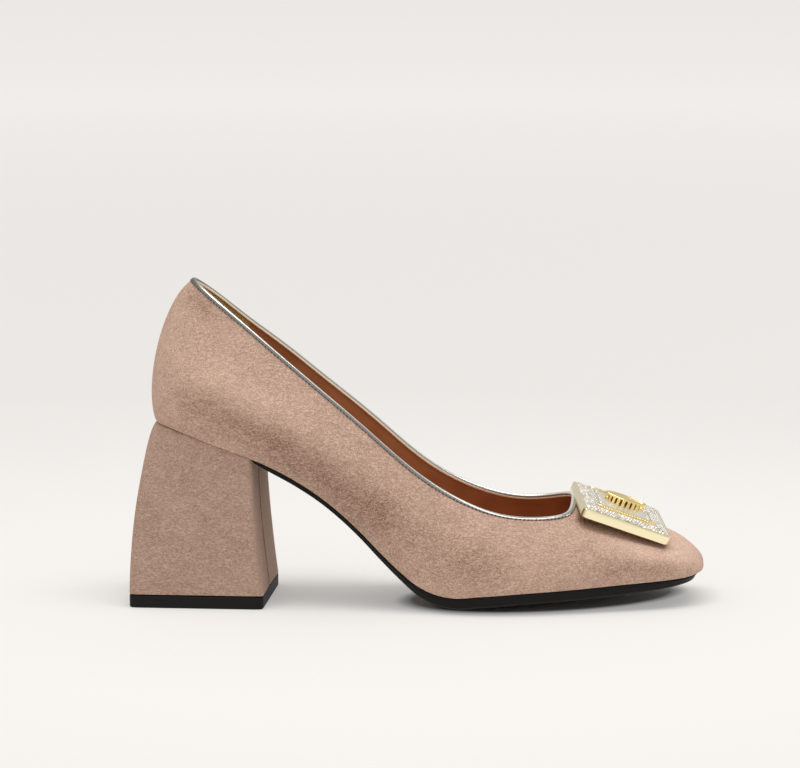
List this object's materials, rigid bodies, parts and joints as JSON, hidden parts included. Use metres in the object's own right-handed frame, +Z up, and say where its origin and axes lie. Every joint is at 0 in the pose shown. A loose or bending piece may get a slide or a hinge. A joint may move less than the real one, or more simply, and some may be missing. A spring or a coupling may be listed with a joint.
{
  "type": "block heel pump",
  "caption": "Suede court shoe for a right foot with a square toe, swept block heel, bound metallic topline and a square gold plate with crystals and an oval boss on the vamp.",
  "frame": {"origin": "on the floor, under the middle of the shoe's box", "axes": "+X to the toe, +Z up, -Y to the outer side of the foot"},
  "size_m": [0.2387, 0.0802, 0.1363],
  "materials": {
    "suede": "napped suede, dusty pink beige, no shine",
    "metallic_binding": "folded metallic leather strip, champagne silver",
    "insole_leather": "smooth cognac lining leather",
    "black_sole": "black inked and waxed sole leather",
    "heel_suede": "napped suede cover over a moulded block",
    "black_rubber": "black heel lift with a satin surface",
    "plate_gold": "pale gold plated casting, polished, set with crystals",
    "boss_gold": "pale gold plated casting, polished"
  },
  "bodies": {
    "root": {"upper": "suede", "topline_binding": "metallic_binding", "insole": "insole_leather", "outsole": "black_sole", "heel": "heel_suede", "top_piece": "black_rubber", "ornament_plate": "plate_gold", "ornament_boss": "boss_gold"}
  },
  "joints": []
}
